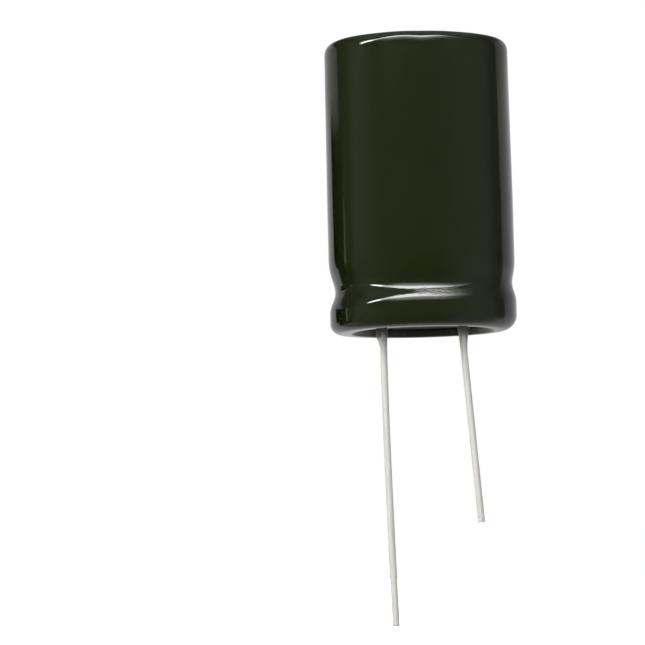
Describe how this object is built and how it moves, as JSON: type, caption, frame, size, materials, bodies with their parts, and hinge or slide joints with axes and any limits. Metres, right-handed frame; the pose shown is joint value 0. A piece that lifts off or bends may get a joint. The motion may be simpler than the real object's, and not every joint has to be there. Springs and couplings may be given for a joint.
{
  "type": "electrolytic capacitor",
  "caption": "Radial-lead aluminium electrolytic capacitor: a beaded can in a shrunk sleeve, closed by a rubber seal, with one lead longer than the other.",
  "frame": {"origin": "on the can's axis, in the plane of the sleeve's foot, which sits on the circuit board", "axes": "+Z along the can's axis towards its closed end, +X from the long lead, the anode, towards the short lead, the cathode"},
  "size_m": [0.0226, 0.0226, 0.0707],
  "materials": {
    "sleeve": "gloss",
    "can_metal": "satin",
    "seal_rubber": "matte",
    "tab_metal": "satin",
    "tinned_wire": "satin",
    "etched_foil": "matte",
    "plain_foil": "satin",
    "separator_paper": "matte",
    "tape": "satin"
  },
  "bodies": {
    "root": {"sleeve": "sleeve", "can": "can_metal", "end_seal": "seal_rubber", "anode_tab": "tab_metal", "cathode_tab": "tab_metal", "anode_lead": "tinned_wire", "cathode_lead": "tinned_wire", "anode_foil": "etched_foil", "cathode_foil": "plain_foil", "inner_paper": "separator_paper", "outer_paper": "separator_paper", "closing_tape": "tape"}
  },
  "joints": []
}
